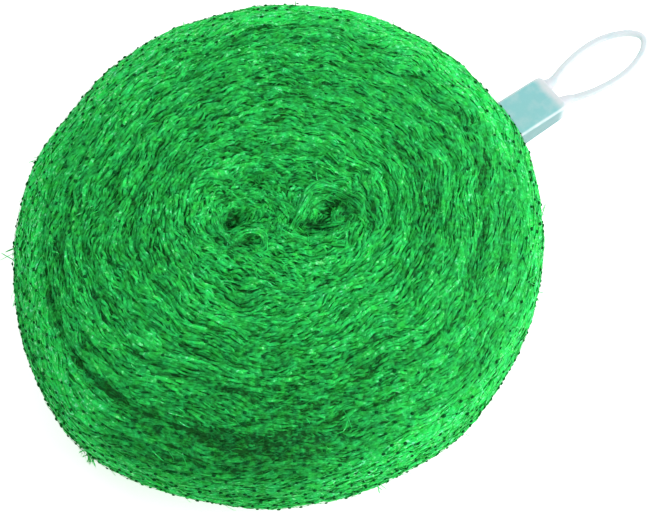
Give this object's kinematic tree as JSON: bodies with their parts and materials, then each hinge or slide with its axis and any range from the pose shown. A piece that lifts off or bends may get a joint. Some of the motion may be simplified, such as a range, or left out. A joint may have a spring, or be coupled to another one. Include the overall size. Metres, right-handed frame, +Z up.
{
  "type": "bird netting roll",
  "caption": "Flat-wound roll of fine green bird netting, its gathered end held in a pale translucent clip with a leaf-shaped hanging loop.",
  "frame": {"origin": "centre of the roll's outline, on the surface that its flat underside rests on", "axes": "+Z up through the roll's thickness; +X from the roll's centre towards the clip and its hanging loop"},
  "size_m": [0.3459, 0.2326, 0.093],
  "materials": {
    "netting": "fine bunched synthetic yarn, slightly shiny",
    "clip_plastic": "milky, translucent, smooth"
  },
  "bodies": {
    "root": {"netting_roll": "netting", "hanging_clip": "clip_plastic"}
  },
  "joints": []
}
